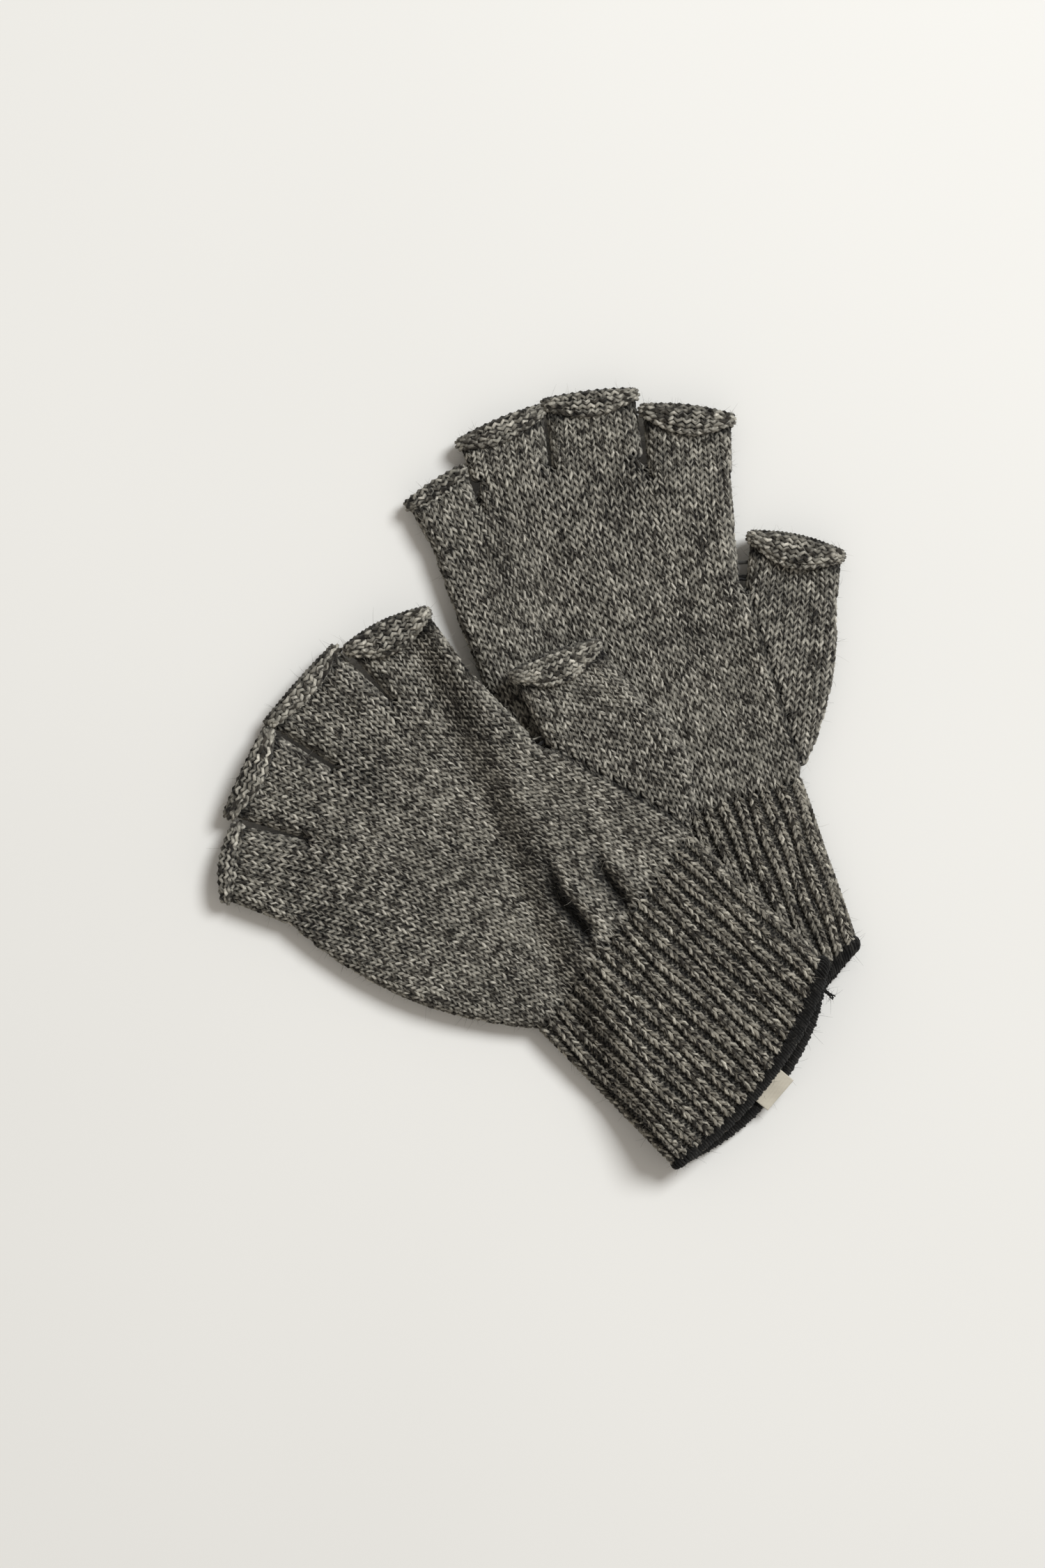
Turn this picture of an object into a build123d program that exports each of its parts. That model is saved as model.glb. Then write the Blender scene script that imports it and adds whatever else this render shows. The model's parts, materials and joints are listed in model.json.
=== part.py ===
from build123d import *
import math
import os
from dataclasses import dataclass

# A pair of knitted fingerless gloves lying flat, one partly over the other.
# Everything is in millimetres, +Z up. Each glove lies palm or back up with its
# thumb on the right of its fingers. Plan positions are laid out freely first and
# moved at the end, so that the origin is under the middle of the pair.

# Cloth and lay
WALL = 2.0                 # thickness of the knitted cloth
GLOVE_HEIGHT = 10.4        # height of one glove lying relaxed
TUBE_HEIGHT = 9.6          # height of a finger tube behind its rolled edge
ROLL_WIDTH = 5.0           # rolled edge, measured along the finger
ROLL_SPREAD = 1.2          # how much wider than its tube the rolled edge is
ROLL_ROUNDING = 1.6        # rounding of the rolled edge
SEAM_GAP = 0.4             # air between the hand and a digit or cuff that folds
LAY_GAP = 0.4              # air between the two gloves
LIFT = GLOVE_HEIGHT + LAY_GAP
CHANNEL_DEPTH = 14.0       # how far a digit's hollow reaches back into the hand
OVERRUN = 1.0              # how far a cutting shape runs on past what it cuts
REACH = 400.0              # longer than anything in the model
BINDING_WIDTH = 4.2        # overlocked band round the mouth of the cuff
MOUTH_RUN_ON = 20.8        # the cuff is first made this much too long, and the lips trim it

# The upper glove climbs on to the lower one along two straight ramps. Each ramp is
# (direction it climbs in, degrees; distance from the layout origin where it reaches
# the top; its run). One follows the side of the lower glove, the other its mouth.
SIDE_RAMP = (23.7, -5.0, 15.0)
MOUTH_RAMP = (125.6, -110.3, 17.5)

# Woven label inside the mouth of the upper glove, and the end of the binding thread
LABEL_SIZE = (12.5, 9.0)
LABEL_THICKNESS = 0.6
LABEL_CENTRE = (70.4, -93.6)
LABEL_ANGLE = 50.0
THREAD_RADIUS = 0.5
THREAD_LENGTH = 5.0
THREAD_HEIGHT = 1.6        # above the cloth that the upper glove lies on
THREAD_BEARING = -9.0      # where it leaves the curve of the mouth, degrees
THREAD_ANGLE = -35.0


@dataclass
class Digit:
    """A finger or thumb tube: centre of its base, direction, widths and length."""
    name: str
    base: tuple
    angle: float
    base_width: float
    tip_width: float
    length: float
    floor: float = 0.0

    def along(self):
        return Vector(math.cos(math.radians(self.angle)), math.sin(math.radians(self.angle)))

    def across(self):
        return self.along().rotate(Axis.Z, -90)

    def point(self, along, across):
        return Vector(*self.base) + self.along() * along + self.across() * across

    def plane(self, along, height):
        centre = self.point(along, 0)
        origin = (centre.X, centre.Y, self.floor + height)
        return Plane(origin=origin, x_dir=self.across(), z_dir=self.along())


@dataclass
class Glove:
    """One glove: its digits from little finger to thumb, and the ends of its cuff."""
    name: str
    digits: list
    crotch: tuple              # hand side of the gap between index finger and thumb
    waist: tuple               # little-finger end and thumb end of the wrist line
    mouth: tuple               # the same two ends at the mouth of the cuff
    little_side_bulge: float   # how far each side of the hand bows out
    thumb_side_bulge: float
    lower_lip: float           # how far the lower and upper cloth of the mouth bow out
    upper_lip: float
    floor: float               # height of the cloth that carries the cuff
    ramps: tuple = ()
    cuff_folds: bool = False


UNDER = Glove(
    name="under",
    digits=[
        Digit("little_finger", (-26.0, 80.0), 120.0, 18.6, 18.6, 15.5),
        Digit("ring_finger", (-8.7, 97.2), 103.0, 24.0, 25.0, 17.5),
        Digit("middle_finger", (18.6, 100.5), 98.0, 28.0, 28.0, 22.5),
        Digit("index_finger", (47.7, 96.4), 92.5, 25.4, 26.5, 21.5),
        Digit("thumb", (79.5, 59.5), 84.0, 28.4, 28.4, 18.8),
    ],
    crotch=(63.4, 61.0),
    waist=((8.0, -21.0), (82.2, 1.0)),
    mouth=((39.0, -97.0), (100.5, -52.0)),
    little_side_bulge=2.5,
    thumb_side_bulge=4.0,
    lower_lip=7.0,
    upper_lip=4.0,
    floor=0.0,
)

OVER = Glove(
    name="over",
    digits=[
        Digit("little_finger", (-75.3, -29.5), 167.3, 22.8, 22.8, 24.8),
        Digit("ring_finger", (-70.0, -6.3), 154.5, 23.0, 24.5, 25.6),
        Digit("middle_finger", (-55.2, 15.6), 140.4, 26.0, 28.0, 26.4),
        Digit("index_finger", (-34.6, 31.8), 119.0, 24.4, 26.0, 24.0),
        Digit("thumb", (17.7, 18.9), 117.0, 32.5, 28.0, 22.6, floor=LIFT),
    ],
    crotch=(1.0, 11.4),
    waist=((0.7, -77.4), (47.0, -16.1)),
    mouth=((44.5, -121.5), (91.0, -57.0)),
    little_side_bulge=10.0,
    thumb_side_bulge=8.0,
    lower_lip=12.0,
    upper_lip=4.0,
    floor=LIFT,
    ramps=(SIDE_RAMP, MOUTH_RAMP),
    cuff_folds=True,
)


def flat_vector(point):
    return Vector(*point)


def towards(start, end):
    """Unit vector from one plan point to another."""
    return (flat_vector(end) - flat_vector(start)).normalized()


def upright(face):
    """A tall prism standing on a plan outline."""
    return Pos(0, 0, -REACH) * extrude(face, amount=2 * REACH)


def polygon(points):
    return make_face(Polyline(*points, close=True))


def ramp_profile(ramp, offset, beyond):
    """Everything on one side of a ramped floor: beyond is the far height of the block."""
    angle, top_edge, run = ramp
    points = [(-REACH, offset), (top_edge - run, offset), (top_edge, LIFT + offset),
              (REACH, LIFT + offset), (REACH, beyond), (-REACH, beyond)]
    climb = Vector(math.cos(math.radians(angle)), math.sin(math.radians(angle)))
    sideways = climb.rotate(Axis.Z, -90)
    face = Plane(origin=(0, 0, 0), x_dir=climb, z_dir=sideways) * polygon(points)
    return extrude(face, amount=REACH, both=True)


def layer(glove, low, high):
    """The room between two heights over whatever the glove lies on."""
    if not glove.ramps:
        return Pos(0, 0, (low + high) / 2) * Box(2 * REACH, 2 * REACH, high - low)
    side, mouth = glove.ramps
    above = ramp_profile(side, low, REACH) + ramp_profile(mouth, low, REACH)
    return above & ramp_profile(side, high, -REACH) & ramp_profile(mouth, high, -REACH)


def digit_solid(digit):
    """A flattened tube, open at both ends, with a fatter rolled edge at its tip."""
    middle = GLOVE_HEIGHT / 2
    base = digit.plane(0, middle)
    tip = digit.plane(digit.length, middle)
    roll_back = digit.plane(digit.length - ROLL_WIDTH, middle)
    tube = loft([base * SlotOverall(digit.base_width, TUBE_HEIGHT),
                 tip * SlotOverall(digit.tip_width - ROLL_SPREAD, TUBE_HEIGHT)])
    rim = extrude(roll_back * SlotOverall(digit.tip_width, GLOVE_HEIGHT), amount=ROLL_WIDTH)
    rim = fillet(rim.edges(), ROLL_ROUNDING)
    hollow_height = TUBE_HEIGHT - 2 * WALL
    past_base = digit.plane(-OVERRUN, middle)
    past_tip = digit.plane(digit.length + OVERRUN, middle)
    hollow = loft([past_base * SlotOverall(digit.base_width - 2 * WALL, hollow_height),
                   past_tip * SlotOverall(digit.tip_width - ROLL_SPREAD - 2 * WALL, hollow_height)])
    return tube + rim - hollow


def digit_channel(digit):
    """Plan outline of the way from the hand's hollow out through one digit's base."""
    half = digit.base_width / 2 - WALL
    return polygon([digit.point(-CHANNEL_DEPTH, -half), digit.point(OVERRUN, -half),
                    digit.point(OVERRUN, half), digit.point(-CHANNEL_DEPTH, half)])


def hand_outline(glove):
    """Plan outline of the hand, with one straight facet for each digit."""
    facets = []
    for digit in glove.digits:
        facets.append(digit.point(-SEAM_GAP, -digit.base_width / 2))
        facets.append(digit.point(-SEAM_GAP, digit.base_width / 2))
    facets.insert(-2, flat_vector(glove.crotch))
    waist_little, waist_thumb = [flat_vector(end) for end in glove.waist]
    return make_face([
        Polyline(*facets),
        SagittaArc(facets[-1], waist_thumb, glove.thumb_side_bulge),
        Line(waist_thumb, waist_little),
        SagittaArc(waist_little, facets[0], glove.little_side_bulge),
    ])


def waist_channel(glove):
    """Plan outline of the way from the hand's hollow into the cuff."""
    little, thumb = [flat_vector(end) for end in glove.waist]
    across = towards(little, thumb)
    into_hand = across.rotate(Axis.Z, 90)
    little += across * (2 * WALL)
    thumb -= across * (2 * WALL)
    back = into_hand * CHANNEL_DEPTH
    past = into_hand * OVERRUN
    return polygon([little + back, little - past, thumb - past, thumb + back])


def hand_solid(glove):
    outline = hand_outline(glove)
    inside = upright(offset(outline, -WALL)) + upright(waist_channel(glove))
    for digit in glove.digits:
        inside += upright(digit_channel(digit))
    shell = upright(outline) & layer(glove, 0, GLOVE_HEIGHT)
    return shell - (inside & layer(glove, WALL, GLOVE_HEIGHT - WALL))


def lip_circle(glove, bulge):
    """Centre and radius of the circle that one lip of the mouth follows in plan."""
    little, thumb = [flat_vector(end) for end in glove.mouth]
    half_chord = (thumb - little).length / 2
    radius = (half_chord ** 2 + bulge ** 2) / (2 * bulge)
    into_cuff = towards(little, thumb).rotate(Axis.Z, 90)
    return (little + thumb) / 2 + into_cuff * (radius - bulge), radius


def lip_disc(glove, bulge, back):
    centre, radius = lip_circle(glove, bulge)
    return Pos(centre.X, centre.Y, 0) * Cylinder(radius - back, 2 * REACH)


def mouth_region(glove, back):
    """All that lies inside the mouth's edge, or inside a line that far back from it."""
    middle = GLOVE_HEIGHT / 2
    lower = lip_disc(glove, glove.lower_lip, back) & layer(glove, 0, middle)
    upper = lip_disc(glove, glove.upper_lip, back) & layer(glove, middle, GLOVE_HEIGHT)
    return lower + upper


def cuff_outline(glove, inset, run_back):
    """Plan outline of the cuff, run on past its mouth; run_back lengthens it at the wrist."""
    waist_little, waist_thumb = [flat_vector(end) for end in glove.waist]
    mouth_little, mouth_thumb = [flat_vector(end) for end in glove.mouth]
    across = towards(waist_little, waist_thumb)
    outward = across.rotate(Axis.Z, -90)
    gap = SEAM_GAP if glove.cuff_folds else 0
    start = outward * (gap - run_back)
    little_run = towards(waist_little, mouth_little) * MOUTH_RUN_ON
    thumb_run = towards(waist_thumb, mouth_thumb) * MOUTH_RUN_ON
    return polygon([waist_little + across * inset + start, mouth_little + across * inset + little_run,
                    mouth_thumb - across * inset + thumb_run, waist_thumb - across * inset + start])


def cuff_solids(glove):
    """The ribbed tube, and the overlocked band that goes on round its mouth."""
    shell = upright(cuff_outline(glove, 0, 0)) & layer(glove, 0, GLOVE_HEIGHT)
    inside = upright(cuff_outline(glove, WALL, OVERRUN)) & layer(glove, WALL, GLOVE_HEIGHT - WALL)
    tube = shell - inside
    rib_region = mouth_region(glove, BINDING_WIDTH)
    return tube & rib_region, (tube & mouth_region(glove, 0)) - rib_region


def label_solid(glove):
    """A flat woven tab on the inner face of the mouth's lower lip."""
    outline = Pos(*LABEL_CENTRE) * Rot(0, 0, LABEL_ANGLE) * Rectangle(*LABEL_SIZE)
    return upright(outline) & layer(glove, WALL, WALL + LABEL_THICKNESS)


def thread_solid(glove):
    """The cut end of the binding thread, standing out from the edge of the mouth."""
    centre, radius = lip_circle(glove, glove.lower_lip)
    start = centre + Vector(1, 0).rotate(Axis.Z, THREAD_BEARING) * (radius - THREAD_RADIUS)
    plane = Plane(origin=(start.X, start.Y, glove.floor + THREAD_HEIGHT),
                  z_dir=Vector(1, 0).rotate(Axis.Z, THREAD_ANGLE))
    return extrude(plane * Circle(THREAD_RADIUS), amount=THREAD_LENGTH)


def glove_nodes(glove):
    nodes = {glove.name + "_hand": hand_solid(glove)}
    for digit in glove.digits:
        nodes[glove.name + "_" + digit.name] = digit_solid(digit)
    nodes[glove.name + "_cuff"], nodes[glove.name + "_binding"] = cuff_solids(glove)
    return nodes


def all_nodes():
    nodes = glove_nodes(UNDER) | glove_nodes(OVER)
    nodes["over_label"] = label_solid(OVER)
    nodes["over_thread_end"] = thread_solid(OVER)
    return nodes


def plan_shift(nodes):
    """The move in plan that puts the origin under the middle of the pair."""
    box = Compound(children=[shape.solid() for shape in nodes.values()]).bounding_box()
    return Pos(-(box.min.X + box.max.X) / 2, -(box.min.Y + box.max.Y) / 2, 0)


NODES = all_nodes()
SHIFT = plan_shift(NODES)
os.makedirs("parts", exist_ok=True)
for node, shape in NODES.items():
    export_step(SHIFT * shape.solid(), "parts/" + node + ".step")
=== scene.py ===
import json
import math

import bpy
import numpy as np
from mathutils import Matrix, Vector


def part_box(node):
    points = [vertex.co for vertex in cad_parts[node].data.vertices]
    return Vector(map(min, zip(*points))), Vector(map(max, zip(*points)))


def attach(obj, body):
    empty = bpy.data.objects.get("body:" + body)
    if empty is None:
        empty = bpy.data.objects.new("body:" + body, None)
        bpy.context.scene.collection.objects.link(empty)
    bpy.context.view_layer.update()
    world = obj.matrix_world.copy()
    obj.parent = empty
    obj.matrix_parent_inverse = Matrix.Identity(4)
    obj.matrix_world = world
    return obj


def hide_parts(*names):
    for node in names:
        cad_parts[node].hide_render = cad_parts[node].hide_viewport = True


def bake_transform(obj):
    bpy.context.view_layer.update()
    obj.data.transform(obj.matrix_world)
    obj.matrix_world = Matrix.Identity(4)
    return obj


# A pair of ragg-wool fingerless gloves lying flat, one partly over the other.
# Every stitch is real yarn: each course is a row of loops that runs round a
# flattened tube. Sizes are in millimetres in the row frame, and meshes are
# written in metres.

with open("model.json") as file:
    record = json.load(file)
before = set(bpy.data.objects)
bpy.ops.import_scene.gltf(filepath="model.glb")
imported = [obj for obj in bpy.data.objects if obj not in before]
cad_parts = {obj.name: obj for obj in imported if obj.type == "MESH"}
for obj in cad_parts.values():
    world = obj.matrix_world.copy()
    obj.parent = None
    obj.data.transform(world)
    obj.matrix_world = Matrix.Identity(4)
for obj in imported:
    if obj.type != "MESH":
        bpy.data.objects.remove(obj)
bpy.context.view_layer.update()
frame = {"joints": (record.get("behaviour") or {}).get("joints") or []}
MM = 0.001
RANDOM = np.random.default_rng(11)

# Knitting
COURSE = 2.05  # one course along the fabric
WALE = 2.75  # one wale across it
YARN_RADIUS = 0.56
FLOOR_GAP = 0.02  # height of the lowest yarn above the floor, in mm
LOOP_SWAY = 1.8  # how far the legs of a loop lean out
LOOP_REACH = 0.88  # height of a loop's head and depth of its foot, in courses
LOOP_DEPTH = 0.55  # legs stand this far forward, heads and feet as far back
LOOP_SAMPLES = 10  # points along one loop
YARN_SIDES = 5
STRAND_SWELL = 0.07  # share by which the yarn's thickness wanders
SWELL_PERIODS = (5.3, 13.1, 2.9)  # points along the yarn for each radian of its waves
STRAND_GAP = 7.3  # left between strands on the Yarn layer

# Loose fibres: how many for each point along a yarn, then the shape of each
FUZZ = 0.1
BINDING_FUZZ = 0.09
TAIL_FUZZ = 0.36
FIBRE_LENGTHS = (1.2, 4.2)
FIBRE_RADII = (0.045, 0.012)
FIBRE_POINTS = 4
FIBRE_SIDES = 3
FIBRE_SPREAD = 1.7  # radians either way round the yarn from its outside
FIBRE_ROOT = 0.8  # share of the yarn's radius at which it starts
FIBRE_STRAY = 0.9
FIBRE_BEND = 0.45

# Cloth lying flat
SHEET_MIDDLE = 5.2  # height of the middle between the two sheets of a glove
HALF_HEIGHT = 4.05  # from there to the middle of each sheet
EDGE_RADIUS = 4.05  # rounding where the upper sheet turns into the lower
SKIN = 1.0  # from the middle of a sheet to its outside
DIGIT_SKIN = 0.5  # the same where a digit lies beside its neighbours
SIDE_WALES = 2  # more across a digit than across its base, for its sides
EDGE_ARC = EDGE_RADIUS * math.pi / 2
EDGE_EXTRA = EDGE_ARC - EDGE_RADIUS
LIFT = 10.8  # the upper glove lies this much higher
UNEVENNESS = ((0.28, 6.9, 11.0, 0.0), (0.24, -17.0, 7.7, 1.3))  # height, run in x and y, phase
SAG = -0.25  # keeps the unevenness mostly below the flat sheet
ARC_POINTS = 15  # along each bowed side of a hand
RUN_ON = 9.0  # outlines go on this far into digits and cuff

# Strips of the OFBake layer
FEWEST_STRIPS = 8
STRIP_WIDTH = 4.8  # against the yarn's radius
STRIP_FILL = 0.985  # share of a strip's length that is used
STRIP_MARGIN = 0.06  # left free along each side

# Rolled finger edges
ROLL_CORNER = 1.1  # half the roll's width at a finger's sides
ROLL_FLATNESS = 0.52  # the roll's thickness over its width
ROLL_TURN = 5.4  # radians that the edge curls through
ROLL_HALF_HEIGHT = 1.8  # of the tube inside the roll
ROLL_PINCH = 9.0  # length over which a tube flattens into its roll
ROLL_COURSE = 2.4  # one course round the roll, where the knitting is looser
ROLL_LOOSENESS = 0.6  # share by which loops stand out further in the roll
ROLL_THICKENING = 0.2  # and by which its yarn is thicker
UNDER_ROLL_SHADE = 1.0  # painted shade: how much deeper the cloth under a roll counts when it is coloured
EVENING_OUT = 6.0  # courses in which a digit's wales spread out evenly

# Ribbing and the overlocked edge
RIB_WALES = 34  # wales across each side of a cuff
RIB_DEPTH = 0.72  # plain wales stand out and purl wales sink in by this
RIB_SPREAD = 0.52  # share by which plain wales are wider
RIB_DRIFT = 0.2  # ribs wander sideways by this many wales
RIB_WAVES = 9  # so many times round a cuff
RIB_WAVE_STEP = 0.35  # and shifted by this many radians each course
RIB_SQUARENESS = 2.5  # how abruptly plain wales change to purl ones
CUFF_HALF_HEIGHT = 3.5
BINDING_WIDTH = 5.0
BINDING_THICKNESS = 1.7  # from the middle of the cloth to the middle of the thread
WRAP_PITCH = 0.86  # one turn of the overlock thread along the edge
THREAD_RADIUS = 0.46
WRAP_POINTS = 12  # along one turn
WRAP_UNEVENNESS = ((0.1, 2.4), (0.06, 5.1))  # share of the width, radians each turn
MOUTH_POINTS = 720  # round the mouth of a cuff

# The label and the thread end on the upper glove
LABEL_SIZE = (12.5, 9.0, 0.6)
LABEL_HEADING = 50.0
LABEL_RUN_OUT = 2.6  # the tape lies this much further out than its solid
LABEL_GRID = (32, 22)
LABEL_CURL = 1.0  # across the tape
LABEL_RIPPLE = (0.15, 9.0)  # height, and radians along the tape
TAIL_PLIES = 3
TAIL_POINTS = 22
TAIL_SHARE = 0.6  # of the length of its solid
TAIL_ROOT = 1.0  # starts this far inside the overlock
TAIL_TWIST = 9.0
TAIL_SPREAD = (0.3, 0.4)  # of the plies at the root, and added where it frays
TAIL_FRAY = 0.55  # share of its length at which it starts to fray
TAIL_RADII = (0.4, 0.24)

# Slopes on which the upper glove climbs on to the lower: direction it climbs in,
# distance from the layout origin where it reaches the top, length of the slope
SIDE_RAMP = (23.7, -5.0, 15.0)
MOUTH_RAMP = (125.6, -110.3, 17.5)

# Digits from little finger to thumb: width at the base, the two corners of the tip
# in the layout's millimetres, little-finger side first, how far the tip bows out,
# and half the width of its roll
DIGIT_NAMES = ["little_finger", "ring_finger", "middle_finger", "index_finger", "thumb"]
DIGITS = {
    "under": [(18.6, (-40.6, 87.4), (-23.8, 98.4), 0.6, 2.2),
              (24.0, (-24.4, 106.6), (0.6, 117.2), 0.8, 3.2),
              (28.0, (2.4, 119.0), (29.8, 122.2), 0.7, 3.4),
              (25.4, (33.2, 117.2), (60.2, 114.2), 1.2, 3.9),
              (28.4, (67.2, 77.6), (94.6, 71.6), 1.6, 4.4)],
    "over": [(22.8, (-98.4, -36.4), (-95.0, -13.6), 2.2, 2.2),
             (23.0, (-97.4, -9.6), (-85.0, 16.6), 0.5, 3.2),
             (26.0, (-84.8, 18.8), (-64.2, 42.0), 0.4, 2.6),
             (24.4, (-59.6, 42.2), (-35.4, 53.6), 1.8, 4.6),
             (32.5, (-7.8, 33.8), (17.8, 43.4), 1.2, 4.4)],
}

# Hand and cuff corners in the layout's own millimetres. The base of the lower
# glove's index finger is a point both frames know.
LAYOUT_POINT = (47.7, 96.4)
HANDS = {
    "under": dict(crotch=(63.4, 61.0), waist=((8.0, -21.0), (82.2, 1.0)),
                  mouth=((39.0, -97.0), (100.5, -52.0)), little_bulge=2.5, thumb_bulge=4.0,
                  little_flare=0.0, lower_lip=7.0, upper_lip=4.0),
    "over": dict(crotch=(1.0, 11.4), waist=((0.7, -77.4), (47.0, -16.1)),
                 mouth=((44.5, -121.5), (91.0, -57.0)), little_bulge=7.6, thumb_bulge=8.0,
                 little_flare=3.4, lower_lip=12.0, upper_lip=7.6),
}

# Folds pressed into a glove's upper sheet: points from its shallow to its deep end,
# depth, half width, and the height of the bank on the thumb's side
CREASES = {
    "under": [([(15.0, 46.0), (65.0, 45.0)], 0.5, 4.0, 0.1)],
    "over": [([(0.5, -18.0), (6.5, -34.5), (15.5, -46.0)], 5.2, 3.3, 1.9),
             ([(17.0, -15.0), (20.0, -27.0), (27.5, -37.0)], 4.0, 2.8, 1.6)],
}

STEEP_SIDE = 0.55  # a fold's half width on the thumb's side, as a share of the other
BANK_PLACE = 1.5  # half widths from a fold to its bank
BANK_WIDTH = 0.9
SHALLOW_SHARE = 0.1  # share of its depth at the shallow end
DEEP_FROM = 0.75  # share of its length at which it reaches its depth
PIT_SHADE = 0.3  # painted shade: how much a pressed fold's depth darkens the yarn in it

# Palm and gusset are laid out past each other and the outline, then cut
SPARE_WALES = 6  # laid out past each side
SEAM_TUCK = 0.7  # courses of hand and gusset sink this far where they meet
SEAM_WALES = 0.8  # wales in which the palm's courses sink
GUSSET_OVERLAP = 0.6  # the gusset's courses end this far past the palm's side
LINE_POINTS = 40  # along the line where they meet
GUSSET_TUCK = (1.4, 2.0)  # where they start to sink, and in what length
CROTCH_FADE = 6.0  # length in which the seam fades out at the crotch
THUMB_OVERLAP = 0.5  # of palm and thumb beside the crotch
STEPS_A_WALE = 20  # along the knuckle line
SMOOTHING = 30  # steps of it that are averaged to round it off
COURSES_IN_HAND = {"under": 46, "over": 45}
GUSSET_COURSES = {"under": 31, "over": 27}


def joint_named(name):
    return next(joint for joint in frame["joints"] if joint["name"] == name)


SHIFT = np.array(joint_named("under_index_finger_fold")["pos_m"][:2]) / MM - LAYOUT_POINT


def placed(point):
    """A plan point of the layout in the row frame."""
    return np.array(point) + SHIFT


def smoothstep(x):
    x = np.clip(x, 0.0, 1.0)
    return x * x * (3 - 2 * x)


def unit(vectors):
    return vectors / np.maximum(np.linalg.norm(vectors, axis=-1, keepdims=True), 1e-9)


def turned_left(vector):
    return np.stack([-vector[..., 1], vector[..., 0]], axis=-1)


def turned_right(vector):
    return -turned_left(vector)


def with_height(plan, height):
    return np.concatenate([plan, height[..., None]], axis=-1)


def heading(degrees):
    return np.array([math.cos(math.radians(degrees)), math.sin(math.radians(degrees))])


def arc_points(start, end, bulge):
    """Points on a shallow arc between two plan points, bowed to the left of the way."""
    t = np.linspace(0, 1, ARC_POINTS)[:, None]
    side = turned_left(unit(end - start))
    return start + (end - start) * t + side * bulge * 4 * t * (1 - t)


class Digit:
    """A finger or thumb tube: its base and direction come from its hinge."""

    def __init__(self, glove, name, measures):
        joint = joint_named(f"{glove}_{name}_fold")
        self.name = name
        self.body = f"{glove}_{name}"
        self.base = np.array(joint["pos_m"][:2]) / MM
        self.along = unit(np.array([-joint["axis"][1], joint["axis"][0]]))
        self.across = turned_right(self.along)
        self.base_width, little_corner, thumb_corner, self.bow, self.roll_radius = measures
        self.tip = (placed(little_corner), placed(thumb_corner))
        self.wales = round(self.base_width / WALE)
        self.flare = HANDS[glove]["little_flare"] if name == "little_finger" else 0.0

    def side_points(self, along):
        """Points on its little-finger side and its thumb side."""
        half = self.base_width / 2
        start = self.base + self.along * along
        return start + self.across * (-half - self.flare), start + self.across * half


class Glove:
    """Plan measurements of one glove in the row frame."""

    def __init__(self, name):
        plan = HANDS[name]
        self.name = name
        self.digits = [Digit(name, *row) for row in zip(DIGIT_NAMES, DIGITS[name])]
        self.crotch = placed(plan["crotch"])
        self.waist = [placed(point) for point in plan["waist"]]
        self.mouth = [placed(point) for point in plan["mouth"]]
        self.plan = plan
        self.waist_across = unit(self.waist[1] - self.waist[0])
        self.up_hand = turned_left(self.waist_across)
        self.sides, self.inside = self.outline()

    def outline(self):
        """Side edges of the hand as segments, and a polygon for telling inside from out."""
        polygon = []
        open_edges = []
        for digit in self.digits:
            if digit.name == "thumb":
                polygon.append(self.crotch)
            base_left, base_right = digit.side_points(0)
            far_left, far_right = digit.side_points(RUN_ON)
            polygon.append(base_left)
            open_edges.append(len(polygon))
            polygon.extend([far_left, far_right, base_right])
        polygon.extend(arc_points(base_right, self.waist[1], self.plan["thumb_bulge"])[1:])
        open_edges.append(len(polygon))
        polygon.append(self.waist[1] - self.up_hand * RUN_ON)
        polygon.append(self.waist[0] - self.up_hand * RUN_ON)
        polygon.extend(arc_points(self.waist[0], polygon[0], self.plan["little_bulge"])[:-1])
        polygon = np.array(polygon)
        following = np.roll(polygon, -1, axis=0)
        kept = [k for k in range(len(polygon)) if k not in open_edges]
        return np.stack([polygon[kept], following[kept]], axis=1), polygon


def is_inside(points, polygon):
    """Whether each plan point is inside a polygon."""
    x, y = points[..., 0], points[..., 1]
    inside = np.zeros(x.shape, bool)
    for (x0, y0), (x1, y1) in zip(polygon, np.roll(polygon, -1, axis=0)):
        if y0 != y1:
            crosses = ((y0 > y) != (y1 > y)) & (x < (x1 - x0) * (y - y0) / (y1 - y0) + x0)
            inside ^= crosses
    return inside


def nearest_on(points, segments):
    """Distance to the nearest of some segments, and the point on it."""
    best = np.full(points.shape[:-1], np.inf)
    foot = np.zeros(points.shape)
    for start, end in segments:
        run = end - start
        share = np.clip(((points - start) @ run) / (run @ run), 0, 1)
        there = start + share[..., None] * run
        distance = np.linalg.norm(points - there, axis=-1)
        nearer = distance < best
        best = np.where(nearer, distance, best)
        foot = np.where(nearer[..., None], there, foot)
    return best, foot


def climb(ramp, points):
    angle, top_edge, run = ramp
    distance = (points - SHIFT) @ heading(angle)
    return smoothstep((distance - top_edge + run) / run)


def lift(glove, points):
    """How much higher the upper glove lies where the lower one is under it."""
    if glove.name == "under":
        return np.zeros(points.shape[:-1])
    return LIFT * np.minimum(climb(SIDE_RAMP, points), climb(MOUTH_RAMP, points))


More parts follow.
